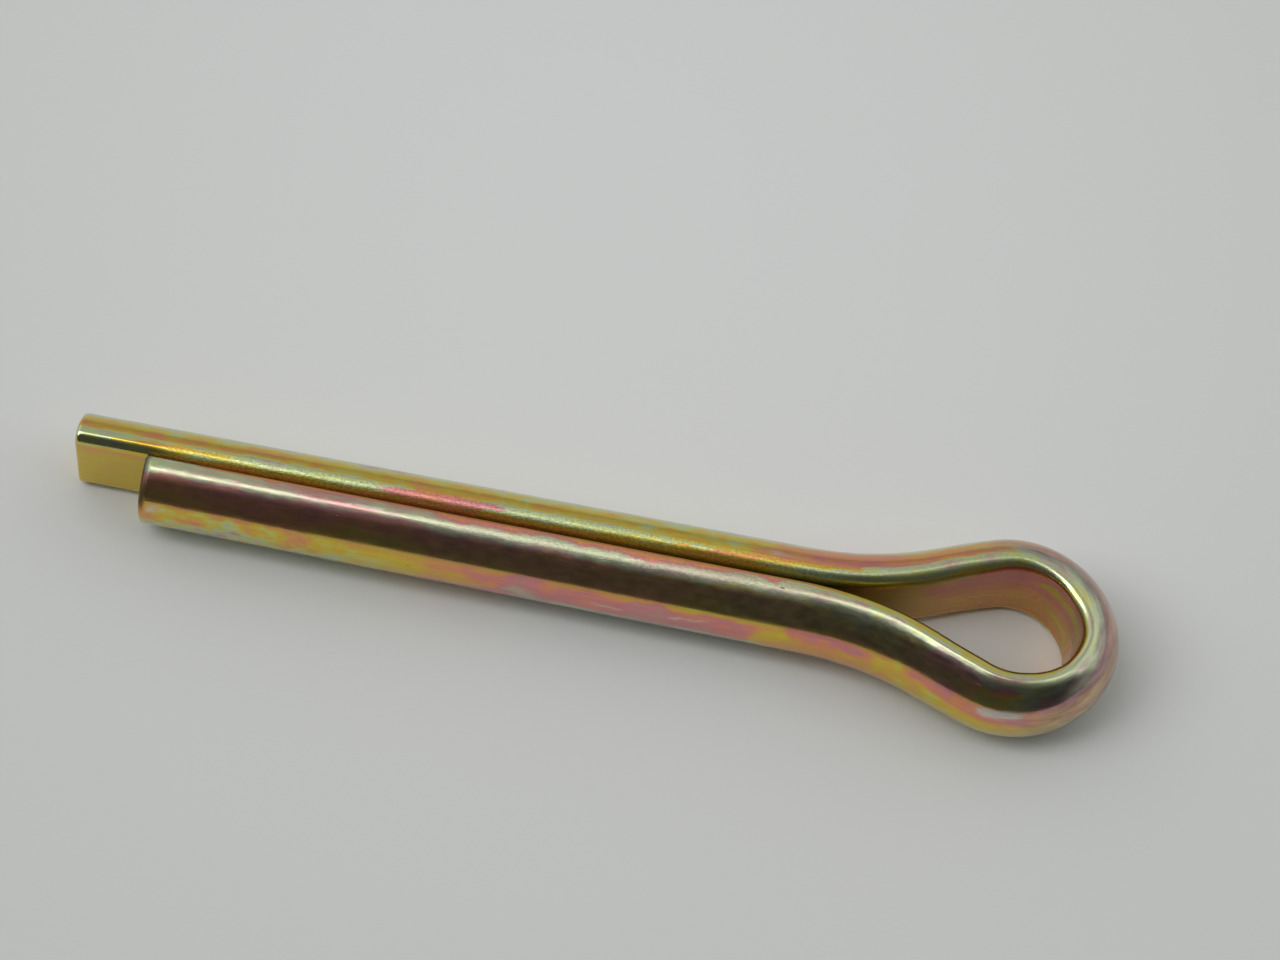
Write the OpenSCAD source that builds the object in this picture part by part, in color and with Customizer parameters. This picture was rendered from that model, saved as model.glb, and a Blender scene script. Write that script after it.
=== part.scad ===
// Cotter pin: one length of half-round steel wire folded back on itself, flat to flat.
// The fold is opened out into a drop-shaped eye, and one leg is left longer than the other.
// The pin lies on its side. X runs along the legs with the eye at +X, Y runs across both
// legs, and Z = 0 is the surface it lies on. The origin is at the middle of its underside.

/* [Shank] */
// Diameter across both legs lying together
shank_d = 9.4; // [6:0.1:13]
// Length of the longer leg, from its tip to where the legs start to part
long_leg = 66.3; // [40:0.1:110]
// How much shorter the other leg is
leg_step = 6.6; // [1:0.1:12]
// Slit between the flat faces of the two legs
slit = 0.2; // [0.1:0.05:0.6]

/* [Wire] */
// Radius of the long edges, where the flat face turns into the round back
edge_r = 1.2; // [0.3:0.05:2]
// Bevel round the cut end of each leg
tip_bevel = 0.3; // [0.1:0.05:0.8]

/* [Eye] */
// Clear width inside the eye, across the pin
eye_w = 9.4; // [7.5:0.1:14]
// Bend radius of the flat face where each leg swings out of the shank
neck_r = 34; // [25:0.1:44]
// Angle that each neck bend swings its leg out by
neck_deg = 23.2; // [19:0.1:27]
// Angle that each flank turns back by along its slight outward bow
flank_deg = 4.5; // [2:0.1:8]
// Bend radius of the flat face at each shoulder, the widest place of the eye
shoulder_r = 5.2; // [4.3:0.1:7]
// Angle that each shoulder bend turns through, before the tighter bend at the end
shoulder_deg = 86; // [68:0.1:98]

/* [Hidden] */
$fn = 144;
// How far each cutter of a bevel reaches past the faces that it cuts
past = 1;

// Wire section: the flat lies on x = 0 and the back bulges towards +x. The two backs share
// one circle about the shank's axis, so the back's centre stands half a slit behind the flat.
back_r = shank_d / 2;
edge_z = sqrt(pow(back_r - edge_r, 2) - pow(edge_r + slit / 2, 2));
edge_deg = atan2(edge_z, edge_r + slit / 2);
half_h = edge_z + edge_r;
wire_t = back_r - slit / 2;

// The flat face's line on the +Y side, seen from above, is a chain of arcs that run into
// each other: neck, flank, shoulder and end. Each heading is the line's angle to the shank
// after that arc, and each centre lies on the line through the joint and the centre before.
heading1 = neck_deg;
heading2 = heading1 - flank_deg;
heading3 = heading2 - shoulder_deg;
function across(heading) = [-sin(heading), cos(heading)];

// The flank's radius gives the eye its width, and the end's radius closes what is left
neck_rise = neck_r * (1 - cos(heading1));
shoulder_rise = shoulder_r * (1 - cos(heading2));
flank_rise = eye_w / 2 - slit / 2 - neck_rise - shoulder_rise;
flank_r = flank_rise / (cos(heading2) - cos(heading1));
end_r = shoulder_r + (eye_w / 2 - shoulder_r) / cos(heading3);

neck_c = [0, slit / 2 + neck_r];
flank_c = neck_c - (neck_r + flank_r) * across(heading1);
shoulder_c = flank_c + (flank_r - shoulder_r) * across(heading2);
end_c = [shoulder_c.x + (shoulder_r - end_r) * across(heading3).x, 0];

// Middle of the whole pin along its length
mid_x = (end_c.x + end_r + wire_t - long_leg) / 2;

// Moves by whole millimetres, then by thousandths, then by the rest, so that a computed
// place keeps all of its digits and neighbouring bends meet face to face
module place(p) {
  coarse = [round(p.x), round(p.y)];
  fine = [round(p.x * 1000) / 1000, round(p.y * 1000) / 1000];
  translate(coarse) translate(fine - coarse) translate(p - fine) children();
}

// The corner of the section that the edge radius takes the place of, drawn from the
// radius's own centre
module edge_corner() {
  reach = 2 * edge_r;
  polygon([
    [0, 0],
    [-reach, 0],
    [-reach, reach],
    [reach * cos(edge_deg), reach * sin(edge_deg)]
  ]);
}

// Half-round section with both of its long edges rounded
module wire_section() {
  difference() {
    intersection() {
      translate([-slit / 2, 0]) circle(r = back_r);
      translate([0, -back_r]) square([back_r, 2 * back_r]);
    }
    place([edge_r, edge_z]) edge_corner();
    mirror([0, 1]) place([edge_r, edge_z]) edge_corner();
  }
  for (turn = [0, 1]) mirror([0, turn]) place([edge_r, edge_z]) intersection() {
    circle(r = edge_r);
    edge_corner();
  }
}

// Bend about c with the flat face on the inside, over deg degrees from one polar angle
module bend_in(c, radius, from, deg) {
  place(c) rotate_extrude(start = from, angle = deg)
    place([radius, 0]) wire_section();
}

// Bend about c with the flat face on the outside
module bend_away(c, radius, from, deg) {
  place(c) rotate_extrude(start = from, angle = deg)
    place([radius, 0]) mirror([1, 0]) wire_section();
}

// One leg of the shank, from its tip to x = 0, with the cut end bevelled
module leg(length) {
  translate([-length, 0, 0]) difference() {
    translate([0, slit / 2, 0]) rotate([90, 0, 90])
      linear_extrude(height = length) wire_section();
    rotate([0, 90, 0]) rotate_extrude() polygon([
      [back_r - tip_bevel - past, -past],
      [back_r + past, -past],
      [back_r + past, tip_bevel + past]
    ]);
    translate([0, slit / 2, -back_r]) linear_extrude(height = 2 * back_r) polygon([
      [-past, tip_bevel + past],
      [-past, -past],
      [tip_bevel + past, -past]
    ]);
  }
}

// One side of the pin up to the end bend
module side(length) {
  leg(length);
  bend_away(neck_c, neck_r, -90, neck_deg);
  bend_in(flank_c, flank_r, 90 + heading2, flank_deg);
  bend_in(shoulder_c, shoulder_r, 90 + heading3, shoulder_deg);
}

module cotter_pin() {
  color([0.71, 0.62, 0.36]) translate([-mid_x, 0, half_h]) {
    side(long_leg);
    mirror([0, 1, 0]) side(long_leg - leg_step);
    bend_in(end_c, end_r, -90 - heading3, 180 + 2 * heading3);
  }
}

cotter_pin();
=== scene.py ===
import math

import bpy
import numpy as np
from mathutils import Matrix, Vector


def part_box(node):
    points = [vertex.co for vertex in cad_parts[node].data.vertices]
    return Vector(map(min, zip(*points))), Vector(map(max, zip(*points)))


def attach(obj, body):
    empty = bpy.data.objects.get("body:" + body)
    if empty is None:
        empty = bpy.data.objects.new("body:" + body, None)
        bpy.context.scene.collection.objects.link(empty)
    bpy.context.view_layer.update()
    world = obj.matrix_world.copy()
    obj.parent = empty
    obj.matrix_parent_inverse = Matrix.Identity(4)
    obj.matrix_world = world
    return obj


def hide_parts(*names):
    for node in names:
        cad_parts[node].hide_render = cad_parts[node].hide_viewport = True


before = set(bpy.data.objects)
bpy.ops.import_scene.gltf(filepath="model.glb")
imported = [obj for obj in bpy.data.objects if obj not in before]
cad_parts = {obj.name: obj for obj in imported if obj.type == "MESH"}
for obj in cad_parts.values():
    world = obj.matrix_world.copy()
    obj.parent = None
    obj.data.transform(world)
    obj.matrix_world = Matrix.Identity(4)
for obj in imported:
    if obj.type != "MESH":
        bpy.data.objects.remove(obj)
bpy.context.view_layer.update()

scene = bpy.context.scene
scene.view_settings.view_transform = "Standard"

MM = 0.001

# The wire and its bends, in millimetres and degrees, as the part's source has them
SHANK_D = 9.4
LONG_LEG = 66.3
LEG_STEP = 6.6
SLIT = 0.2
EDGE_R = 1.2
EYE_W = 9.4
NECK_R = 34.0
NECK_DEG = 23.2
FLANK_DEG = 4.5
SHOULDER_R = 5.2
SHOULDER_DEG = 86.0

SHORT_LEG = LONG_LEG - LEG_STEP
BACK_R = SHANK_D / 2
HALF_H = math.sqrt((BACK_R - EDGE_R) ** 2 - (EDGE_R + SLIT / 2) ** 2) + EDGE_R
WIRE_T = BACK_R - SLIT / 2

# Where the legs start to part, so that the longer leg's tip stands at the low end of the pin's box
NECK_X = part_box("cotter_pin")[0][0] / MM + LONG_LEG

# Turns a point on the +Y side, or in the upper half of the section, into its mirror image
FLIP = np.array([1.0, -1.0])


# ---------------------------------------------------------------- camera

# The point looked at and the distance to it in millimetres, the camera's angles in degrees, and the lens
AIM = np.array([NECK_X - 16.18, 8.836, HALF_H])
AIM_DISTANCE = 379.7
AZIMUTH, ELEVATION, ROLL = 2.057, 62.38, 8.718
LENS, SENSOR = 117.68, 36.0


def make_camera():
    """A long lens looking down at the pin from the short leg's side, turned a little about its own axis."""
    data = bpy.data.cameras.new("camera")
    data.sensor_width = SENSOR
    data.lens = LENS
    data.clip_start, data.clip_end = 0.01, 50.0
    azimuth, elevation, roll = (math.radians(angle) for angle in (AZIMUTH, ELEVATION, ROLL))
    back = np.array([
        math.sin(azimuth) * math.cos(elevation),
        -math.cos(azimuth) * math.cos(elevation),
        math.sin(elevation),
    ])
    level = np.cross(-back, (0.0, 0.0, 1.0))
    level /= np.linalg.norm(level)
    down = np.cross(-back, level)
    right = math.cos(roll) * level - math.sin(roll) * down
    up = -(math.sin(roll) * level + math.cos(roll) * down)
    place = (AIM + back * AIM_DISTANCE) * MM
    camera = bpy.data.objects.new("camera", data)
    rows = [[right[i], up[i], back[i], place[i]] for i in range(3)]
    camera.matrix_world = Matrix(rows + [[0.0, 0.0, 0.0, 1.0]])
    scene.collection.objects.link(camera)
    scene.camera = camera


make_camera()


# ---------------------------------------------------------------- the wire's line and section

def arc(centre, radius, start, stop, sign, step):
    """Points centre + sign * radius * (-sin t, cos t) for t from start to stop, about step apart."""
    count = max(2, int(round(abs(stop - start) * radius / step)) + 1)
    t = np.linspace(start, stop, count)
    outward = np.stack([-np.sin(t), np.cos(t)], axis=1)
    return np.asarray(centre) + sign * radius * outward, outward


def half_loop(step):
    """The flat face's line on the +Y side from the neck to the middle of the end, with outward normals.

    Four arcs follow each other: neck, flank, shoulder, end. The flank's radius makes the eye as wide as
    EYE_W, and the end's radius brings the line to y = 0 where it points straight across.
    """
    heads = np.radians([NECK_DEG, NECK_DEG - FLANK_DEG, NECK_DEG - FLANK_DEG - SHOULDER_DEG])
    across = np.stack([-np.sin(heads), np.cos(heads)], axis=1)
    neck_rise = NECK_R * (1 - math.cos(heads[0]))
    shoulder_rise = SHOULDER_R * (1 - math.cos(heads[1]))
    flank_rise = EYE_W / 2 - SLIT / 2 - neck_rise - shoulder_rise
    flank_r = flank_rise / (math.cos(heads[1]) - math.cos(heads[0]))
    end_r = SHOULDER_R + (EYE_W / 2 - SHOULDER_R) / math.cos(heads[2])
    neck_c = np.array([0.0, SLIT / 2 + NECK_R])
    flank_c = neck_c - (NECK_R + flank_r) * across[0]
    shoulder_c = flank_c + (flank_r - SHOULDER_R) * across[1]
    end_c = np.array([shoulder_c[0] + (SHOULDER_R - end_r) * across[2][0], 0.0])
    parts = [
        arc(neck_c, NECK_R, 0.0, heads[0], -1, step),
        arc(flank_c, flank_r, heads[0], heads[1], 1, step),
        arc(shoulder_c, SHOULDER_R, heads[1], heads[2], 1, step),
        arc(end_c, end_r, heads[2], -math.pi / 2, 1, step),
    ]
    points = np.concatenate([p if i == 0 else p[1:] for i, (p, n) in enumerate(parts)])
    normals = np.concatenate([n if i == 0 else n[1:] for i, (p, n) in enumerate(parts)])
    return points, normals


# Spacing of the stations along the wire, radius round each end face, and the stations on that radius
LINE_STEP = 0.3
TIP_R, TIP_STATIONS = 0.4, 9
# Points on half of the flat, on each long edge and on half of the back
FLAT_POINTS, EDGE_POINTS, BACK_POINTS = 14, 13, 31
# Each end face: sizes of the smaller rings in it, and its middle as a part of the wire's depth
CAP_RINGS, CAP_MIDDLE = np.array([0.8, 0.5, 0.2]), 0.46
# How far the whole surface lies inside the wire's true size
SKIN = 0.013
# Radius of the wire's long edges by run: blunt on the longer leg, uneven round the eye, and sharp on
# the shorter leg
EDGE_ROUND = (
    (0.0, EDGE_R), (70.0, EDGE_R), (80.0, 1.4), (86.0, 1.1), (89.0, 0.8), (92.0, 0.85), (97.0, 1.0),
    (108.0, 1.0), (121.0, 0.35),
)
# How far the inner face's top edge leans outwards by run, round the eye
FLARE = (
    (72.0, 0.0), (80.0, 0.3), (85.0, 0.4), (91.0, 0.45), (94.0, 0.95), (97.0, 0.95), (100.0, 0.45),
    (104.0, 0.2), (112.0, 0.0),
)
# The hump on the shorter leg's back at its tip, and its middle and reach in degrees from the top
FULLNESS = 0.2
FULL_AT, FULL_REACH = 60.0, 55.0
# The shorter leg leans in towards its tip and is a little thinner there, and both have eased away at
# BENT_UP_TO past the neck
NECK_STAND, TIP_STAND = 0.25, -0.15
NECK_DEPTH, TIP_DEPTH = 0.989, 0.905
BENT_UP_TO = 17.0


def tip_rows(radius, rows):
    """Distances from the tip's end face, and how far the section is drawn in there, for a quarter round."""
    t = np.linspace(0, math.pi / 2, rows)
    return radius * (1 - np.cos(t)), radius * (1 - np.sin(t))


def whole_line():
    """Stations along the wire from the longer leg's tip, round the eye, to the shorter leg's tip.

    Returns place (n, 2), outward normal (n, 2), run along the line (n) and inset of the section (n).
    """
    loop, loop_n = half_loop(LINE_STEP)
    ease, inset = tip_rows(TIP_R, TIP_STATIONS)

    def leg(length):
        straight = np.linspace(TIP_R, length, int(round((length - TIP_R) / LINE_STEP)))[1:-1]
        run = np.concatenate([ease, straight])
        place = np.stack([run - length, np.full_like(run, SLIT / 2)], axis=1)
        drawn = np.concatenate([inset, np.zeros_like(straight)])
        return place, drawn

    far, far_in = leg(LONG_LEG)
    near, near_in = leg(SHORT_LEG)
    up = np.array([0.0, 1.0])
    place = np.concatenate([far, loop, loop[-2::-1] * FLIP, near[::-1] * FLIP])
    outward = np.concatenate([
        np.tile(up, (len(far), 1)),
        loop_n,
        loop_n[-2::-1] * FLIP,
        np.tile(up * FLIP, (len(near), 1)),
    ])
    inset_all = np.concatenate([far_in, np.zeros(2 * len(loop) - 1), near_in[::-1]])
    gaps = np.linalg.norm(np.diff(place, axis=0), axis=1)
    run = np.concatenate([[0.0], np.cumsum(gaps)])
    return place, outward, run, inset_all


def sections_of(edge_r):
    """The wire's section at each station as (depth behind the flat, height), its normals, and its lap.

    From the middle of the flat upwards: half the flat, the top edge's arc, the back's arc, the bottom
    edge's arc, and the other half of the flat. edge_r holds the edge radius at each station, and the
    height is scaled so that it reaches HALF_H whatever that radius is. Lap is the angle that the
    surface faces, in degrees: 0 at the back's middle, 90 at the top, 180 where the flat begins, and
    from there up to 270 at the flat's middle. The lower half has the same values below 0.
    """
    edge_r = edge_r[:, None]
    edge_z = np.sqrt((BACK_R - edge_r) ** 2 - (edge_r + SLIT / 2) ** 2)
    turn = np.arctan2(edge_z, edge_r + SLIT / 2)
    part = np.linspace(0, 1, FLAT_POINTS)[None, :-1] + 0 * turn
    edge = math.pi + (turn - math.pi) * np.linspace(0, 1, EDGE_POINTS)[None, :-1]
    back = turn * np.linspace(1, 0, BACK_POINTS)[None]
    depth = [0 * part, edge_r * (1 + np.cos(edge)), BACK_R * np.cos(back) - SLIT / 2]
    height = [edge_z * part, edge_z + edge_r * np.sin(edge), BACK_R * np.sin(back)]
    depth, height = np.concatenate(depth, axis=1), np.concatenate(height, axis=1)
    height *= HALF_H / (edge_z + edge_r)
    faces = np.concatenate([math.pi + 0 * part, edge, back], axis=1)
    lap = np.degrees(faces)
    lap[:, :FLAT_POINTS - 1] += 90 * (1 - part)
    ring = np.stack([depth, height], axis=2)
    normal = np.stack([np.cos(faces), np.sin(faces)], axis=2)
    ring = np.concatenate([ring, ring[:, -2:0:-1] * FLIP], axis=1)
    normal = np.concatenate([normal, normal[:, -2:0:-1] * FLIP], axis=1)
    return ring - SKIN * normal, normal, np.concatenate([lap, -lap[:, -2:0:-1]], axis=1)


def smooth(value, start, stop):
    """0 below start, 1 above stop, and 3t^2 - 2t^3 between them."""
    t = np.clip((value - start) / (stop - start), 0.0, 1.0)
    return t * t * (3 - 2 * t)


def by_run(table, run):
    """The value at each run from rows of (run, value), straight from row to row and level past the ends."""
    return np.interp(run, *zip(*table))


def towards_tip(place):
    """How far along the shorter leg a point stands, 0 from the neck on and 1 at that leg's tip."""
    return np.clip(-place[:, 0] / SHORT_LEG, 0.0, 1.0)


def as_bent(place):
    """How far the shorter leg's flat stands out from its line, and its depth as a part of the full depth.

    Along that leg both go straight from the value at the tip to the value at the neck, and from there
    they ease to none and to full by the middle of the neck bend and flank.
    """
    to_tip = towards_tip(place)
    bent = np.where(place[:, 1] < 0, 1.0, 0.0) * (1 - smooth(place[:, 0], 0.0, BENT_UP_TO))
    stand = bent * (NECK_STAND + (TIP_STAND - NECK_STAND) * to_tip)
    depth = 1 - bent * (1 - (NECK_DEPTH + (TIP_DEPTH - NECK_DEPTH) * to_tip))
    return stand, depth


def fullness(place, ring):
    """How far the shorter leg's back stands out, fuller towards the tip, as (depth, height).

    The move is away from the back's centre, by a cosine-squared hump over the angle from the top.
    """
    to_tip = np.where(place[:, 1] < 0, towards_tip(place), 0.0)
    turn = np.arctan2(ring[:, :, 0] + SLIT / 2, ring[:, :, 1])
    off = np.clip((np.degrees(turn) - FULL_AT) / FULL_REACH, -1.0, 1.0)
    size = FULLNESS * to_tip[:, None] * np.cos(off * math.pi / 2) ** 2
    return np.stack([size * np.sin(turn), size * np.cos(turn)], axis=2)


def flare(run, ring):
    """How far the section leans outwards, as added depth.

    It is FLARE's value at that run, times how high the point is, from 0 at the underside to 1 at the
    top, times how near it is to the flat, from 1 on it to 0 at the back's middle.
    """
    rise = np.clip(0.5 + 0.5 * ring[:, :, 1] / HALF_H, 0.0, 1.0)
    return by_run(FLARE, run)[:, None] * rise * np.clip(1 - ring[:, :, 0] / WIRE_T, 0.0, 1.0)


def with_ends(values, count):
    """The values with the first and the last of them repeated count times more."""
    return np.concatenate([np.repeat(values[:1], count, 0), values, np.repeat(values[-1:], count, 0)])


def sweep_pin():
    """The closed surface: the section carried along the line, drawn in at the tips and closed there.

    A point is line + (stand + depth * section depth) * outward + height * Z. The section first gets its
    fullness and its flare, and is moved in along its own normals by the inset. Each end face is the
    last ring drawn towards its middle in a few smaller rings, and a fan closes the smallest.
    """
    place, outward, run, inset = whole_line()
    ring, ring_n, lap = sections_of(by_run(EDGE_ROUND, run))
    ring = ring + fullness(place, ring)
    ring[:, :, 0] += flare(run, ring)
    body = ring - inset[:, None, None] * ring_n

    middle = np.array([WIRE_T * CAP_MIDDLE, 0.0])
    size = CAP_RINGS[:, None, None]
    first_cap, last_cap = [end[None] * size + middle * (1 - size) for end in (body[0], body[-1])]
    sections = np.concatenate([first_cap[::-1], body, last_cap])
    line, normal, along, laps, stand, depth = [
        with_ends(values, len(CAP_RINGS)) for values in (place, outward, run, lap, *as_bent(place))
    ]

    rows, cols = sections.shape[:2]
    out = stand[:, None] + depth[:, None] * sections[:, :, 0]
    xy = line[:, None] + out[:, :, None] * normal[:, None]
    points = np.concatenate([xy, sections[:, :, 1:]], axis=2)
    wire = np.stack([np.repeat(along[:, None], cols, 1), sections[:, :, 0], sections[:, :, 1]], axis=2)

    poles = [
        np.append(line[k] + (stand[k] + depth[k] * middle[0]) * normal[k], middle[1]) for k in (0, -1)
    ]
    pole_wire = [[run[k], middle[0], middle[1]] for k in (0, -1)]
    verts = np.concatenate([points.reshape(-1, 3), poles])
    wires = np.concatenate([wire.reshape(-1, 3), pole_wire])
    laps = np.concatenate([laps.ravel(), [0.0, 0.0]])
    verts += (NECK_X, 0.0, HALF_H)

    grid = np.arange(rows * cols).reshape(rows, cols)
    a, b = grid[:-1], np.roll(grid[:-1], -1, axis=1)
    c, d = np.roll(grid[1:], -1, axis=1), grid[1:]
    quads = np.stack([a, d, c, b], axis=2).reshape(-1, 4)
    first, last = grid[0], grid[-1]
    fan_a = np.stack([first, np.roll(first, -1), np.full(cols, rows * cols)], axis=1)
    fan_b = np.stack([np.roll(last, -1), last, np.full(cols, rows * cols + 1)], axis=1)
    return verts, wires, laps, quads, np.concatenate([fan_a, fan_b])


def build_mesh(name, verts, quads, tris):
    """A mesh from whole arrays of corners, four-sided faces and triangles, all smooth."""
    mesh = bpy.data.meshes.new(name)
    mesh.vertices.add(len(verts))
    mesh.vertices.foreach_set("co", (verts * MM).astype(np.float32).ravel())
    loops = np.concatenate([quads.ravel(), tris.ravel()]).astype(np.int32)
    starts = np.concatenate([np.arange(len(quads)) * 4, len(quads) * 4 + np.arange(len(tris)) * 3])
    mesh.loops.add(len(loops))
    mesh.loops.foreach_set("vertex_index", loops)
    mesh.polygons.add(len(starts))
    mesh.polygons.foreach_set("loop_start", starts.astype(np.int32))
    mesh.polygons.foreach_set("use_smooth", np.ones(len(starts), dtype=bool))
    mesh.update(calc_edges=True)
    mesh.validate()
    return mesh


# ---------------------------------------------------------------- where the finish changes

# How thick the coloured film is at places on the wire, by run in millimetres and lap in degrees.
# 0.7 is pale grey-green, 0.8 green, 0.9 yellow-green, 1 gold, 1.15 orange, 1.3 salmon, 1.45 rose,
# 1.55 mauve and 1.7 grey-green again.
FILM = [
    # The longer leg's back: greenish edge, then gold, brown and pale streaks, and the worn inner edge
    (4, 35, 0.70), (4, 50, 0.94), (4, 64, 1.2), (4, 76, 0.74), (4, 92, 0.74), (4, 125, 0.8),
    (8.8, 96, 1.14), (8.8, 112, 1.08), (9, 35, 0.70), (9, 51, 0.94), (9, 64, 1.2), (9, 76, 0.76),
    (12, 98, 0.79), (12, 112, 0.79), (14, 35, 0.72), (14, 48, 0.97), (14, 62, 1.2), (14, 75, 0.78),
    (14, 136, 1.1), (15, 96, 0.8), (16, 110, 0.8), (20, 36, 0.70), (20, 50, 0.94), (20, 63, 1.18),
    (20, 76, 0.76), (20, 96, 0.8), (20, 136, 1.08), (21, 110, 0.8), (25.5, 110, 0.8), (26, 96, 0.8),
    (27, 36, 0.72), (27, 58, 0.98), (27, 67, 1.16), (27, 78, 0.76), (27, 136, 1.12), (30, 104, 1.47),
    (33, 36, 0.74), (33, 50, 0.98), (33, 62, 1.14), (33, 78, 1.2), (33, 96, 1.44), (33, 124, 1.22),
    (34, 106, 1.46), (40, 36, 0.72), (40, 53, 0.86), (40, 65, 1.1), (40, 75, 0.78), (40, 96, 0.76),
    (40, 136, 1.1), (41, 110, 0.77), (46, 96, 0.75), (47, 36, 0.68), (47, 54, 1.08), (47, 66, 1.16),
    (47, 76, 0.74), (47, 110, 0.77), (47, 134, 1.05), (51, 54, 0.93), (51, 63, 0.9), (53, 36, 0.78),
    (53, 78, 0.84), (53, 98, 0.78), (53, 122, 1.0), (58, 88, 0.98), (58, 103, 1.3), (59, 36, 0.76),
    (59, 52, 0.96), (59, 64, 0.98), (59, 76, 1.04), (60, 122, 1.06), (66, 36, 0.74), (66, 52, 1.22),
    (66, 66, 1.3), (66, 80, 1.24), (66, 95, 1.1), (66, 115, 0.84),
    # The longer leg's flat at its tip, and the eye's inner face
    (3, 145, 0.84), (5, -240, 1.02), (5, 180, 1.16), (5, 200, 1.04), (5, 240, 1.02), (8, 150, 1.0),
    (12, 220, 1.0), (72, 150, 0.86), (72, 200, 1.1), (72, 250, 1.08), (76, 220, 1.02), (79, 220, 1.3),
    (82, 220, 1.4), (86, 200, 1.42), (88, 235, 1.36), (92, 215, 1.02), (94, 215, 0.97), (97, 210, 1.2),
    (104, 220, 1.0), (112, 220, 1.05),
    # The eye's outer face, its upper edges, and its inner face's lower half at the end
    (71, 34, 0.78), (71, 50, 1.3), (71, 68, 1.36), (71, 84, 0.76), (71, 100, 0.76), (71, 130, 0.82),
    (77, 34, 0.76), (77, 48, 1.22), (77, 66, 1.3), (77, 84, 0.72), (77, 104, 0.76), (77, 130, 0.8),
    (83, 36, 0.74), (83, 50, 1.16), (83, 68, 1.2), (83, 84, 0.74), (83, 104, 0.78), (83, 130, 0.82),
    (88, 172, 1.36), (89, 20, 0.74), (89, 50, 1.26), (89, 74, 0.76), (89, 104, 0.76), (89, 130, 0.78),
    (92, -225, 1.0), (93, 0, 1.2), (93, 20, 1.28), (93, 42, 1.38), (93, 58, 0.74), (93, 80, 0.76),
    (93, 104, 0.78), (93, 135, 0.98), (96, -225, 1.3), (96, 46, 1.5), (97, 0, 1.08), (97, 22, 1.2),
    (97, 60, 0.72), (97, 84, 0.74), (97, 104, 0.76), (97, 135, 1.26), (98.5, 42, 1.4), (101, 30, 1.3),
    (101, 56, 0.84), (101, 84, 0.7), (101, 110, 0.76), (101, 150, 1.0), (107, 130, 0.84),
    # The shorter leg's lower band, from the eye to the tip
    (100.4, -18, 0.86), (101, 4, 1.14), (103.5, 24, 1.45), (104, 0, 0.98), (107, 4, 1.02),
    (110, 8, 1.09), (113, 12, 1.11), (116, 8, 1.14), (117, 24, 1.44), (118.5, 0, 1.26), (121, 0, 1.14),
    (124, 5, 1.04), (128, -24, 1.66), (128, 8, 1.42), (132, -24, 1.7), (132, 8, 1.46), (136, -24, 1.7),
    (136, 8, 1.47), (140, -24, 1.68), (140, 8, 1.42), (143.5, -22, 1.66), (143.5, 8, 1.34),
    (146, 5, 1.68), (148.5, -24, 1.06), (148.5, -5, 1.52), (148.5, 16, 1.42), (152, -20, 1.5),
    (152, 5, 1.1), (157, -22, 1.1), (157, 5, 1.0), (161.5, -22, 0.88), (161.5, 5, 0.97),
    (166, -22, 0.82), (166, 8, 1.14), (170.5, -24, 0.72), (170.5, -8, 0.78), (170.5, 14, 0.98),
    (175, -24, 0.76), (175, -6, 0.86), (175, 12, 1.0), (179, -24, 0.8), (179, -4, 0.96),
    (179, 14, 1.08),
    # Its dark side, maroon above and olive below
    (101, 42, 0.84), (101, 58, 1.3), (106, 44, 1.12), (106, 60, 1.36), (111, 44, 1.0), (111, 58, 1.16),
    (114.5, 56, 0.84), (116, 40, 1.04), (119, 58, 1.1), (126, 58, 1.08), (128, 40, 1.04),
    (134, 55, 1.14), (140, 40, 1.14), (142, 55, 1.2), (150, 40, 1.12), (150, 55, 1.3), (158, 55, 1.34),
    (160, 40, 1.06), (165, 55, 1.34), (170, 40, 1.2), (172, 55, 1.33), (178, 40, 1.14), (178, 55, 1.3),
    # Its top, from the pale worn line along its highlight to the slit, and its upper inner edge in the eye
    (90, 112, 0.8), (101, 70, 0.72), (102, 122, 1.0), (103, 101, 1.02), (104, 78, 0.7), (105, 69, 0.72),
    (108, 74, 0.71), (108, 88, 0.78), (108, 99, 1.0), (108, 120, 0.98), (109, 68, 0.74),
    (112, 98, 0.96), (113, 68, 0.76), (114, 76, 0.74), (114, 94, 0.92), (118, 76, 1.7), (120, 96, 1.16),
    (123, 73, 1.7), (127, 89, 1.24), (128, 72, 1.68), (134, 72, 1.66), (134, 89, 1.26), (141, 72, 1.68),
    (141, 89, 1.26), (147, 72, 1.7), (147, 89, 1.3), (152, 72, 1.69), (152, 89, 1.28), (157, 76, 1.68),
    (157, 96, 1.25), (162, 76, 1.56), (162, 96, 1.3), (166, 76, 1.6), (166, 98, 1.3), (170, 76, 1.66),
    (170, 98, 1.2), (174, 76, 1.68), (174, 100, 1.3), (178, 76, 0.72), (178, 100, 0.72),
    # The undersides and the longer leg's hidden side
    (10, 0, 1.05), (15, -90, 1.0), (25, -10, 0.95), (30, -90, 1.3), (40, 0, 1.07), (55, -10, 1.0),
    (60, -90, 0.9), (70, 0, 1.3), (85, -20, 1.1), (88, -220, 1.2), (94, -60, 1.0), (104, -220, 1.0),
    (125, -90, 1.1), (150, -90, 1.3), (172, -90, 0.95),
]
# How far each place reaches in run and in lap, and the same for the faint spread that fills the gaps
FILM_RUN, FILM_LAP = 2.8, 9.0
FILL_RUN, FILL_LAP, FILL = 9.0, 40.0, 1e-3

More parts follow.
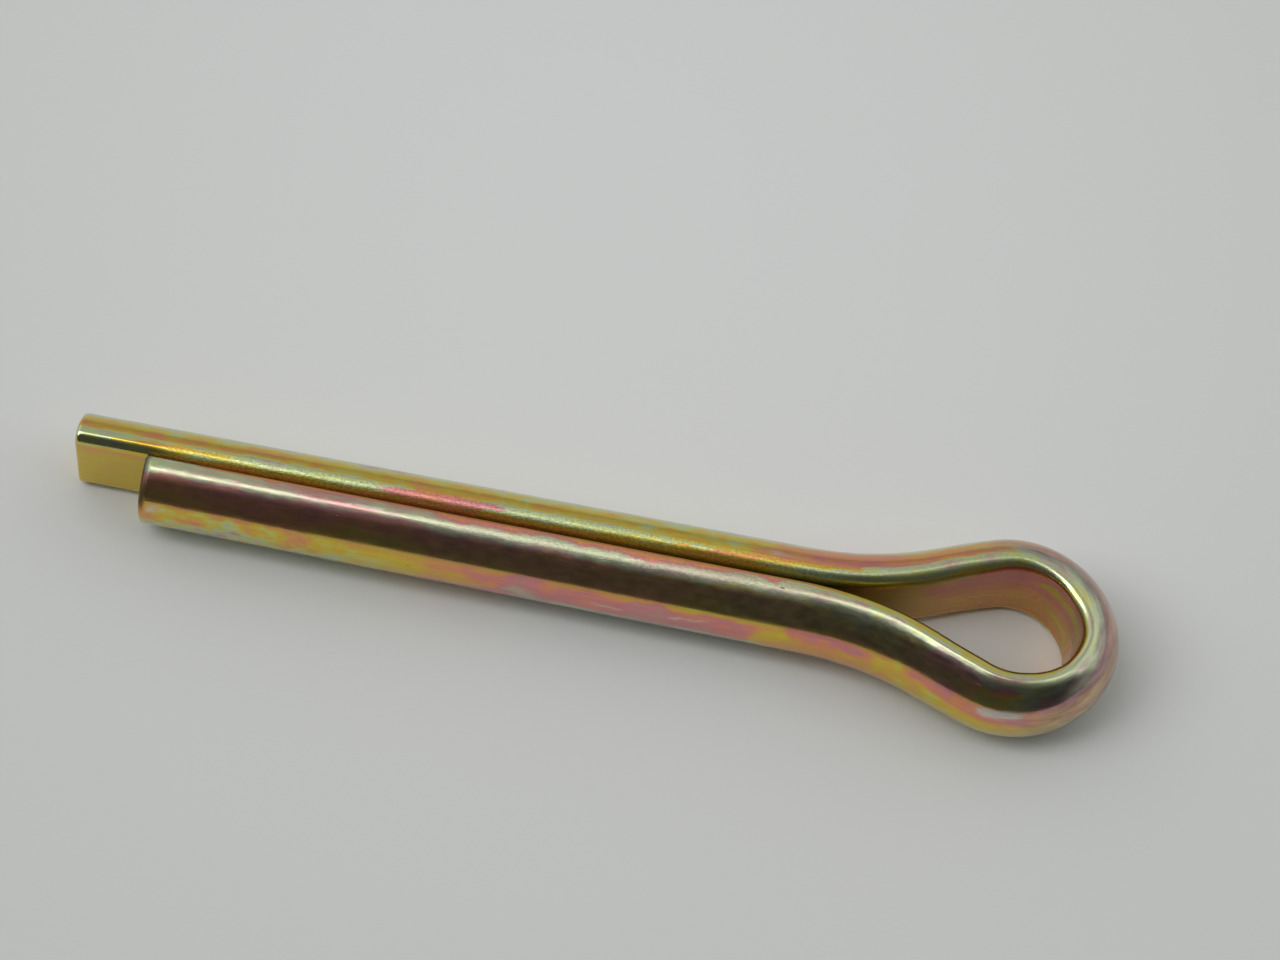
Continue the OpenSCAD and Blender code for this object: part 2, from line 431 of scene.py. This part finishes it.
# Rubbed places, where the film is thin and the zinc shows: run, lap, their reach in each, and how much
RUBBED = [
    (0.1, 60, 0.3, 80, 0.4), (4, 34, 5.0, 9, 0.35), (4, 76, 4.0, 5, 0.35), (18, 34, 9.0, 6, 0.3),
    (20, 76, 9.0, 5, 0.25), (40, 34, 12.0, 6, 0.3), (60, 34, 10.0, 6, 0.35), (65.5, 66, 3.0, 8, 0.4),
    (72, 92, 5.0, 10, 0.3), (80, 36, 6.0, 9, 0.3), (88, 66, 3.0, 14, 0.35), (92, 40, 3.0, 14, 0.3),
    (94.5, 86, 3.5, 14, 0.4), (98.5, 92, 3.0, 12, 0.45), (102.6, 30, 0.8, 7, 0.8),
    (108, 88, 8.0, 12, 0.35), (130.5, 14, 1.6, 3.5, 0.45), (139, 10, 1.3, 3.0, 0.4),
    # The long row at run 150 lays pale zinc along the shorter leg's top where its highlight falls: wear,
    # and a painted highlight too
    (150, 73, 45.0, 2.4, 0.42), (176, 90, 2.5, 8, 0.25), (179.4, 20, 0.9, 8, 0.45),
    (179.6, 94, 1.5, 12, 0.7),
]

# The tables below have a row for each layer: how much, the run it covers and the lap it covers. A range
# is where the layer begins and is whole, and where it starts to fade and is gone if it ends at all. An
# amount that changes is given before and after, with the stretch of run over which it changes.

# Fine grain on the longer leg's upper inner edge, where the shorter leg lies beside it, and less of it
# on the shorter leg's upper outer edge near the eye
# The grain's specks also brighten these edges on the whole: a painted highlight
GRAIN = [
    ((1.0, 0.4, 60.0, 74.0), (6.5, 9.5, 91.0, 94.0), (72.0, 90.0, 165.0, 182.0)),
    (0.4, (116.0, 124.0, 146.0, 160.0), (58.0, 68.0, 84.0, 98.0)),
]
# Painted shade: layers that darken the colour where the pin lies in shade or shows dark reflections, and
# roughen it a little
PAINTED_SHADE = [
    # Painted shade in the slit, on the longer leg and on the shorter leg
    (0.65, (7.0, 9.0, 66.0, 78.0), (118.0, 160.0)),
    (0.65, (112.0, 122.0), (84.0, 150.0)),
    # Painted shade, darkening the reflections on the eye's inner edge, along the longer leg's side, the end
    # and the shorter leg's side
    (0.45, (72.0, 76.0, 86.0, 89.0), (104.0, 116.0)),
    (0.5, (90.0, 92.5, 97.0, 101.0), (112.0, 126.0)),
    (0.25, (97.0, 100.0, 112.0, 120.0), (108.0, 125.0)),
    # Painted shade on the shorter leg's top, and on its end face but for the lowest part
    (0.3, (124.0, 132.0, 156.0, 166.0), (80.0, 92.0)),
    (1.1, (180.3, 180.8), (10.0, 30.0)),
]
# Painted shade on the eye's inner face, darkest towards the neck, with lap counted the same above and below
PAINTED_SHADE_INSIDE = [((0.6, 0.35, 73.0, 81.0), (60.0, 68.0, 98.0, 104.0), (165.0, 185.0))]
# Dull, greyed plate, darkened as painted shade, round the outside of the eye, and on the shorter leg's dark
# side, but not on its top
DULL_AND_SHADE = [
    (1.0, (80.0, 90.0, 98.0, 103.0), (-96.0, -70.0, 70.0, 96.0)),
    (1.0, (100.0, 106.0, 126.0, 134.0), (28.0, 40.0)),
    ((0.7, 0.4, 150.0, 164.0), (116.0, 124.0), (26.0, 40.0)),
]
DULL_MOST, DULL_TOP = 0.35, (66.0, 76.0)
# Small patches of other colours, added to PATCHY_ALL: some on the longer leg's back and round the
# outside of the eye, and many on the shorter leg's lower side near its tip
PATCHY = [
    (0.12, (-1.0, 0.0, 66.0, 74.0), (-100.0, -84.0, 84.0, 100.0)),
    (0.2, (-1.0, 0.0, 60.0, 68.0), (20.0, 40.0, 70.0, 84.0)),
    (0.2, (70.0, 84.0, 112.0, 126.0), (-185.0, -140.0, 140.0, 185.0)),
    (0.85, (158.0, 168.0), (-45.0, -30.0, 26.0, 36.0)),
]
PATCHY_ALL = 0.15
# Streaks along the wire, which fade a little on the flat faces
STREAKY, STREAKY_FLAT, FLAT_FROM = 0.4, 0.16, (140.0, 185.0)


def between(value, start, whole, fade=None, gone=None):
    """0 below start, 1 from whole on, and 0 again from gone on if the range ends."""
    inside = smooth(value, start, whole)
    return inside if fade is None else inside * (1 - smooth(value, fade, gone))


def layers(rows, run, lap):
    """What each row of a table puts at each point: its amount times between() of run and of lap."""
    laid = []
    for amount, along, across in rows:
        if isinstance(amount, tuple):
            before, after, start, stop = amount
            amount = before + (after - before) * smooth(run, start, stop)
        laid.append(amount * between(run, *along) * between(lap, *across))
    return np.array(laid)


def shifted(run, lap):
    """Run and lap moved a little by a few sine waves, which gives the patches uneven edges.

    Run moves by waves of 1.2 and 0.7 mm. On the longer leg's back, up to the eye's end, it also moves by
    waves of 1.6 and 0.8 mm that follow the lap. Lap moves by waves of 2, 1.6 and 0.7 degrees.
    """
    ring = np.radians(lap / 1.5)
    ragged = (1 - smooth(run, 84.0, 96.0)) * (1 - smooth(np.abs(lap), 135.0, 160.0))
    run_moves = (
        1.2 * np.sin(0.55 * run + 3.0 * np.sin(ring) + 1.0),
        0.7 * np.sin(1.7 * run + 7.0 * np.cos(ring)),
        1.6 * np.sin(0.12 * lap + np.sin(0.3 * run)) * ragged,
        0.8 * np.sin(0.33 * lap) * ragged,
    )
    lap_moves = (
        2.0 * np.sin(0.38 * run + 0.6),
        1.6 * np.sin(1.1 * run + 4.0 * np.sin(ring)),
        0.7 * np.sin(2.9 * run),
    )
    return run + sum(run_moves), lap + sum(lap_moves)


def nearness(run, lap, place, side, reach, spread):
    """exp(-(dr / reach)^2 - (dl / spread)^2) for the distances dr in run and dl in lap from a place.

    Lap goes round a ring of 540 degrees, so dl is the shorter way round.
    """
    off = (lap - side + 270.0) % 540.0 - 270.0
    return np.exp(-((run - place) / reach) ** 2 - (off / spread) ** 2)


def film_of(run, lap):
    """The film's value as the cosine and sine of its turn, one turn for each whole number.

    Both are the sum over FILM's places weighted by nearness, plus FILL of a much wider nearness, and
    brought to length 1, so that the colours between two places go the shorter way round.
    """
    film = np.zeros((len(run), 2))
    for place, side, value in FILM:
        weight = nearness(run, lap, place, side, FILM_RUN, FILM_LAP)
        weight += FILL * nearness(run, lap, place, side, FILL_RUN, FILL_LAP)
        turn = 2 * math.pi * value
        film += weight[:, None] * (math.cos(turn), math.sin(turn))
    return film / (np.linalg.norm(film, axis=1)[:, None] + 1e-9)


def rubbed_of(run, lap):
    """The most that any of RUBBED's places gives: its amount times nearness within its own reach."""
    rubbed = np.zeros(len(run))
    for place, side, reach, spread, amount in RUBBED:
        rubbed = np.maximum(rubbed, amount * nearness(run, lap, place, side, reach, spread))
    return rubbed


def finish_of(run, lap):
    """The film at each point, and the amounts of wear and pattern that the plate's material reads.

    Grain, painted shade and the dull plate's greying and painted shade are the most that any of their
    layers gives, and patchiness is the sum of its layers.
    """
    either = np.abs(lap)
    moved = shifted(run, lap)
    # Painted shade in the slit, on the eye's inner edges and inner face, and on the shorter leg's top and
    # end face
    painted_shade = np.maximum(
        layers(PAINTED_SHADE, run, lap).max(axis=0),
        layers(PAINTED_SHADE_INSIDE, run, either).max(axis=0),
    )
    # The dull plate is greyed and mottled, and darkened as painted shade
    dull_and_shade = DULL_MOST * layers(DULL_AND_SHADE, run, lap).max(axis=0) * (1 - smooth(lap, *DULL_TOP))
    amounts = {
        "rubbed": rubbed_of(*moved),
        "grain": layers(GRAIN, run, lap).max(axis=0),
        "patchy": PATCHY_ALL + layers(PATCHY, run, lap).sum(axis=0),
        "streaky": STREAKY + (STREAKY_FLAT - STREAKY) * smooth(either, *FLAT_FROM),
        "painted_shade": painted_shade,
        "dull_and_shade": dull_and_shade,
    }
    return film_of(*moved), amounts


verts, wires, laps, quads, tris = sweep_pin()
film, amounts = finish_of(wires[:, 0], laps)
pin_mesh = build_mesh("pin_wire", verts, quads, tris)
for name, values in (("wire_place", wires), ("film", np.append(film, 0 * film[:, :1], axis=1))):
    layer = pin_mesh.attributes.new(name, "FLOAT_VECTOR", "POINT")
    layer.data.foreach_set("vector", values.astype(np.float32).ravel())
for name, values in amounts.items():
    layer = pin_mesh.attributes.new(name, "FLOAT", "POINT")
    layer.data.foreach_set("value", values.astype(np.float32))
pin = bpy.data.objects.new("pin_wire", pin_mesh)
scene.collection.objects.link(pin)


# ---------------------------------------------------------------- materials

class Nodes:
    """Short calls for placing and joining shader nodes in one tree."""

    def __init__(self, tree):
        self.tree = tree

    def add(self, kind, **settings):
        """A new node of that kind, with its settings."""
        node = self.tree.nodes.new(kind)
        for key, value in settings.items():
            setattr(node, key, value)
        return node

    def join(self, out, into):
        """Joins an output to an input."""
        self.tree.links.new(out, into)

    def math(self, operation, a, b=None):
        """One step of arithmetic on outputs or plain numbers."""
        node = self.add("ShaderNodeMath", operation=operation)
        for socket, value in zip(node.inputs, (a, b)):
            if value is None:
                continue
            if isinstance(value, bpy.types.NodeSocket):
                self.join(value, socket)
            else:
                socket.default_value = value
        return node.outputs[0]

    def times(self, a, b):
        """a * b."""
        return self.math("MULTIPLY", a, b)

    def plus(self, a, *others):
        """The sum of all."""
        for other in others:
            a = self.math("ADD", a, other)
        return a

    def less(self, a, b):
        """a - b."""
        return self.math("SUBTRACT", a, b)

    def remap(self, value, start, stop, low, high, smooth=True):
        """low up to start, high from stop on, and eased or straight between them."""
        node = self.add("ShaderNodeMapRange")
        node.interpolation_type = "SMOOTHSTEP" if smooth else "LINEAR"
        for name, number in zip(("From Min", "From Max", "To Min", "To Max"), (start, stop, low, high)):
            node.inputs[name].default_value = number
        self.join(value, node.inputs["Value"])
        return node.outputs["Result"]

    def split(self, vector):
        """The three outputs of a vector or colour."""
        node = self.add("ShaderNodeSeparateXYZ")
        self.join(vector, node.inputs[0])
        return node.outputs

    def scaled(self, vector, scale, location=(0.0, 0.0, 0.0)):
        """A vector times scale, moved by location."""
        node = self.add("ShaderNodeMapping")
        node.inputs["Location"].default_value = location
        node.inputs["Scale"].default_value = scale
        self.join(vector, node.inputs["Vector"])
        return node.outputs["Vector"]

    def blend(self, factor, colour, plain):
        """The colour where factor is 0, and a plain colour where it is 1."""
        node = self.add("ShaderNodeMix", data_type="RGBA")
        self.join(factor, node.inputs["Factor"])
        self.join(colour, node.inputs[6])
        node.inputs[7].default_value = (*plain, 1.0)
        return node.outputs[2]

    def ramp(self, factor, stops):
        """A colour ramp through (position, colour) stops."""
        node = self.add("ShaderNodeValToRGB")
        elements = node.color_ramp.elements
        while len(elements) < len(stops):
            elements.new(0.5)
        for element, (position, colour) in zip(elements, stops):
            element.position = position
            element.color = (*colour, 1.0)
        self.join(factor, node.inputs["Fac"])
        return node.outputs["Color"]


# The film's colours in order of its thickness, over one turn of the scale
FILM_COLOURS = [
    (0.00, (0.70, 0.51, 0.06)),
    (0.14, (0.74, 0.40, 0.11)),
    (0.30, (0.77, 0.31, 0.16)),
    (0.44, (0.67, 0.25, 0.26)),
    (0.56, (0.56, 0.34, 0.28)),
    (0.67, (0.54, 0.51, 0.34)),
    (0.78, (0.53, 0.62, 0.32)),
    (0.89, (0.65, 0.58, 0.14)),
    (1.00, (0.70, 0.51, 0.06)),
]
BARE_ZINC = (0.66, 0.67, 0.60)
PIT_DARK = (0.10, 0.08, 0.05)
COAT, COAT_ROUGH = 0.15, 0.12

# The finish's noises: scale per millimetre along the wire, through its depth and up its height, then
# how many finer layers each has and how strong they are
STREAKS = ((0.16, 1.5, 1.5), 3.0, 0.55)
PATCHES = ((0.5, 0.8, 0.8), 3.0, 0.55)
DASHES = ((1.4, 7.0, 7.0), 3.0, 0.6)
SPECKS = ((3.5, 7.0, 7.0), 2.0, 0.6)
SCORES = ((0.3, 6.0, 6.0), 3.0, 0.6)
STAINS = ((0.7, 1.5, 1.5), 4.0, 0.6)
GLOSS = ((0.4, 2.0, 2.0), 3.0, 0.55)
LINES = ((0.25, 5.0, 5.0), 3.0, 0.55)
PEEL = ((1.4, 2.6, 2.6), 2.0, 0.55)
WAVES = ((0.45, 0.9, 0.9), 1.0, 0.55)
CRUMBS = ((4.0, 8.0, 8.0), 2.0, 0.6)

# The noise values at which streaks and patches leave the film alone, and how far patches move it
STREAKS_REST, PATCHES_REST, PATCHES_SWING = 0.5, 0.53, 1.8
# How far dashes vary the rubbing, over what range of rubbing the zinc comes to show, and how much
DASHES_REST, DASHES_SWING = 0.5, 0.8
ZINC_SHOWS = (0.1, 0.6, 0.0, 0.8)
# What specks, scores and stains add to the brightness, each from a noise range; the specks add more than
# they take, a painted highlight on the grainy edges
SPECKS_AND_HIGHLIGHT = (0.35, 0.65, -0.1, 0.5)
SCORES_SHADE = (0.3, 0.7, -0.07, 0.05)
STAINS_SHADE = (0.35, 0.65, -0.7, 0.7)
# How much full painted shade and the dull plate's painted shade take from the brightness, and dullness from
# the colour
PAINTED_SHADE_DARKENS, DULL_PAINTED_SHADE, DULL_GREYS = 0.7, 0.9, 0.85
# Pits: their cells per millimetre, how large they are in a cell, and how few cells have one
PIT_CELLS = (0.3, 1.0, 1.0)
PIT_SIZE = (0.05, 0.09, 1.0, 0.0)
PIT_CHANCE = (0.86, 0.95, 0.0, 0.7)
# Roughness of the plate from a noise range, and what full zinc, grain, painted shade and pits add to it
PLATE_ROUGH = (0.3, 0.7, 0.12, 0.19)
ZINC_ROUGH, GRAIN_ROUGH, PAINTED_SHADE_ROUGH, PIT_ROUGH = 0.12, 0.18, 0.35, 0.3
# RELIEF is in metres, the other heights are parts of it, and patchy places raise the waves
RELIEF = 0.000006
LINES_HIGH, PEEL_HIGH, CRUMBS_HIGH, PIT_HIGH = 0.28, 0.5, 2.2, -0.8
WAVES_PATCHY, WAVES_REST = 4.0, -0.45


def zinc_plate():
    """Yellow chromate film over bright zinc: streaked interference colours, rubbed and grainy places."""
    material = bpy.data.materials.new("zinc_plate")
    material.use_nodes = True
    tree = material.node_tree
    tree.nodes.clear()
    n = Nodes(tree)
    out = n.add("ShaderNodeOutputMaterial")
    metal = n.add("ShaderNodeBsdfPrincipled")
    metal.inputs["Metallic"].default_value = 1.0
    metal.inputs["Coat Weight"].default_value = COAT
    metal.inputs["Coat Roughness"].default_value = COAT_ROUGH
    n.join(metal.outputs["BSDF"], out.inputs["Surface"])
    place = n.add("ShaderNodeAttribute", attribute_name="wire_place").outputs["Vector"]
    film = n.split(n.add("ShaderNodeAttribute", attribute_name="film").outputs["Vector"])
    rubbed, grain, patchy, streaky, painted_shade, dull_and_shade = [
        n.add("ShaderNodeAttribute", attribute_name=name).outputs["Fac"] for name in amounts
    ]

    def noise(scale, detail, roughness):
        node = n.add("ShaderNodeTexNoise")
        node.inputs["Scale"].default_value = 1.0
        node.inputs["Detail"].default_value = detail
        node.inputs["Roughness"].default_value = roughness
        n.join(n.scaled(place, scale), node.inputs["Vector"])
        return node.outputs["Fac"]

    # Film: the listed thickness, long faint streaks, and small patches
    thickness = n.math("DIVIDE", n.math("ARCTAN2", film[1], film[0]), 2 * math.pi)
    streaks = n.times(n.less(noise(*STREAKS), STREAKS_REST), streaky)
    patches = n.times(n.times(n.less(noise(*PATCHES), PATCHES_REST), patchy), PATCHES_SWING)
    colour = n.ramp(n.math("FRACT", n.plus(thickness, streaks, patches)), FILM_COLOURS)

    # Rubbed zinc shows in fine dashes along the wire
    dashes = n.times(n.less(noise(*DASHES), DASHES_REST), DASHES_SWING)
    worn = n.remap(n.plus(rubbed, dashes), *ZINC_SHOWS)
    colour = n.blend(worn, colour, BARE_ZINC)

    # Brightness: the grain's light and dark specks, brighter on the whole as a painted highlight, score
    # lines, stains, painted shade, and the dull plate's painted shade
    # The grain's specks brighten the grainy edges on the whole, a painted highlight
    specks_and_highlight = n.times(n.remap(noise(*SPECKS), *SPECKS_AND_HIGHLIGHT, smooth=False), grain)
    scores = n.remap(noise(*SCORES), *SCORES_SHADE, smooth=False)
    stains = n.times(n.remap(noise(*STAINS), *STAINS_SHADE, smooth=False), dull_and_shade)
    shade = n.plus(specks_and_highlight, scores, stains, 1.0)
    # Painted shade, then the dull plate's painted shade, darken the colour
    shade = n.times(shade, n.less(1.0, n.times(painted_shade, PAINTED_SHADE_DARKENS)))
    shade = n.times(shade, n.less(1.0, n.times(dull_and_shade, DULL_PAINTED_SHADE)))
    tone = n.add("ShaderNodeHueSaturation")
    n.join(shade, tone.inputs["Value"])
    n.join(n.less(1.0, n.times(dull_and_shade, DULL_GREYS)), tone.inputs["Saturation"])
    n.join(colour, tone.inputs["Color"])

    # Small dark pits in some of the cells
    cells = n.add("ShaderNodeTexVoronoi")
    cells.inputs["Scale"].default_value = 1.0
    n.join(n.scaled(place, PIT_CELLS), cells.inputs["Vector"])
    chosen = n.remap(n.split(cells.outputs["Color"])[0], *PIT_CHANCE)
    pit = n.times(n.remap(cells.outputs["Distance"], *PIT_SIZE), chosen)
    n.join(n.blend(pit, tone.outputs["Color"], PIT_DARK), metal.inputs["Base Color"])

    # Roughness: bright plate, rougher where rubbed, grainy, where shade is painted, or pitted
    rough = n.plus(
        n.remap(noise(*GLOSS), *PLATE_ROUGH, smooth=False),
        n.times(worn, ZINC_ROUGH),
        n.times(grain, GRAIN_ROUGH),
        n.times(painted_shade, PAINTED_SHADE_ROUGH),
        n.times(pit, PIT_ROUGH),
    )
    n.join(rough, metal.inputs["Roughness"])

    # Relief: drawing lines along the wire, a soft orange peel, broad waves, the grain's crumbs, and pits
    height = n.plus(
        n.times(noise(*LINES), LINES_HIGH),
        n.times(noise(*PEEL), PEEL_HIGH),
        n.times(noise(*WAVES), n.plus(n.times(patchy, WAVES_PATCHY), WAVES_REST)),
        n.times(n.times(noise(*CRUMBS), grain), CRUMBS_HIGH),
        n.times(pit, PIT_HIGH),
    )
    relief = n.add("ShaderNodeBump")
    relief.inputs["Strength"].default_value = 1.0
    relief.inputs["Distance"].default_value = RELIEF
    n.join(height, relief.inputs["Height"])
    n.join(relief.outputs["Normal"], metal.inputs["Normal"])
    return material


pin_mesh.materials.append(zinc_plate())


# ---------------------------------------------------------------- floor and light

# Half the side of the paper that the pin lies on, in metres. The paper's colour carries a painted pool of
# light: lightest a little behind the pin, where its own coordinates, scaled and moved, come to nothing, and
# darker where they are 1 or more off, a painted falloff of the light.
PAPER_HALF = 4.0
PAPER_PAINTED_LIT, PAPER_PAINTED_DIM = (0.755, 0.77, 0.76), (0.635, 0.65, 0.63)
PAPER_MOVE, PAPER_SCALE = (0.05, -0.3, 0.0), (7.0, 7.0, 7.0)
PAPER_ROUGH, PAPER_SPECULAR = 0.85, 0.2

# How bright the room is, as parts of plain light, in the middle and to the sides, and where along X it
# goes from the one to the other. The room behind is also darker low down.
BEHIND_MIDDLE, BEHIND_SIDE, BEHIND_SPREAD = 0.46, 0.77, (0.15, 0.6)
BEFORE_MIDDLE, BEFORE_SIDE, BEFORE_SPREAD = 0.065, 0.36, (0.75, 1.0)
BEHIND_LOW = (0.0, 0.4, 0.8, 1.1)
# The front of the room takes over past the zenith, in degrees, quickly at first and slowly after
FRONT_QUICK = (8.0, 11.0, 0.0, 0.6)
FRONT_SLOW = (11.0, 32.0, 0.0, 0.4)
# The row of lamps in the middle and to the sides: its edges in degrees past the zenith, how soft they
# are, and how bright it is
MIDDLE_ROW = (3.0, 6.4, 1.0, 2.8)
SIDE_ROW = (0.0, 15.0, 2.0, 3.6)
# The row by X: where its middle gives way to its sides, how many degrees wider it is near its -X end,
# where it ends on both sides, and how it weakens on the +X side
ROW_OFF_MIDDLE = (0.12, 0.3, 0.0, 1.0)
ROW_WIDER = (-0.6, -0.42, 20.0, 0.0)
ROW_ENDS = (0.8, 0.9, 1.0, 0.0)
ROW_WEAKER = (0.0, 0.1, 1.0, 0.15)


def make_floor():
    """A square sheet far larger than the pin, whose top is the surface that the pin lies on, with a painted
    pool of light in its colour.
    """
    mesh = bpy.data.meshes.new("floor")
    corners = [(x * PAPER_HALF, y * PAPER_HALF, 0) for x, y in ((-1, -1), (1, -1), (1, 1), (-1, 1))]
    mesh.from_pydata(corners, [], [(0, 1, 2, 3)])
    floor = bpy.data.objects.new("floor", mesh)
    material = bpy.data.materials.new("paper")
    material.use_nodes = True
    shader = material.node_tree.nodes["Principled BSDF"]
    n = Nodes(material.node_tree)
    coords = n.add("ShaderNodeTexCoord")
    off = n.add("ShaderNodeVectorMath", operation="LENGTH")
    n.join(n.scaled(coords.outputs["Object"], PAPER_SCALE, PAPER_MOVE), off.inputs[0])
    # Painted pool of light: the paper's colour darkens away from a point a little behind the pin
    fade = n.remap(off.outputs["Value"], 0.0, 1.0, 0.0, 1.0)
    n.join(n.ramp(fade, [(0.0, PAPER_PAINTED_LIT), (1.0, PAPER_PAINTED_DIM)]), shader.inputs["Base Color"])
    shader.inputs["Roughness"].default_value = PAPER_ROUGH
    shader.inputs["Specular IOR Level"].default_value = PAPER_SPECULAR
    mesh.materials.append(material)
    scene.collection.objects.link(floor)
    return floor


def make_world():
    """A room of soft light, worked out from the direction.

    It is mid-bright all round and brighter at both sides, dark on the shorter leg's side from a little past
    the zenith down, and a long bright row of lamps crosses overhead from side to side. The row is weak on
    the +X side and widest towards its -X end.
    """
    world = bpy.data.worlds.new("room")
    scene.world = world
    world.use_nodes = True
    tree = world.node_tree
    tree.nodes.clear()
    n = Nodes(tree)
    out = n.add("ShaderNodeOutputWorld")
    background = n.add("ShaderNodeBackground")
    n.join(background.outputs["Background"], out.inputs["Surface"])
    x, y, z = n.split(n.add("ShaderNodeTexCoord").outputs["Generated"])
    side = n.math("ABSOLUTE", x)
    # Angle from the zenith towards -Y, in degrees, of the direction seen along X
    lean = n.times(n.math("ARCTAN2", n.times(y, -1.0), z), 180 / math.pi)

    behind = n.remap(side, *BEHIND_SPREAD, BEHIND_MIDDLE, BEHIND_SIDE)
    behind = n.times(behind, n.remap(z, *BEHIND_LOW))
    before = n.remap(side, *BEFORE_SPREAD, BEFORE_MIDDLE, BEFORE_SIDE)
    front = n.plus(n.remap(lean, *FRONT_QUICK), n.remap(lean, *FRONT_SLOW))
    room = n.plus(n.times(behind, n.less(1.0, front)), n.times(before, front))

    def row(start, stop, soft, strength, end_lean):
        begins = n.remap(lean, start - soft, start + soft, 0.0, strength)
        return n.times(begins, n.remap(end_lean, stop - soft, stop + soft, 1.0, 0.0))

    wider = n.less(lean, n.remap(x, *ROW_WIDER))
    off_middle = n.remap(side, *ROW_OFF_MIDDLE)
    lamps = n.plus(
        n.times(row(*MIDDLE_ROW, lean), n.less(1.0, off_middle)),
        n.times(row(*SIDE_ROW, wider), off_middle),
    )
    lamps = n.times(n.times(lamps, n.remap(side, *ROW_ENDS)), n.remap(x, *ROW_WEAKER))
    n.join(n.plus(room, lamps), background.inputs["Strength"])
    background.inputs["Color"].default_value = (1.0, 1.0, 1.0, 1.0)


floor = make_floor()
make_world()


# ---------------------------------------------------------------- frame

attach(pin, "root")
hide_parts("cotter_pin")
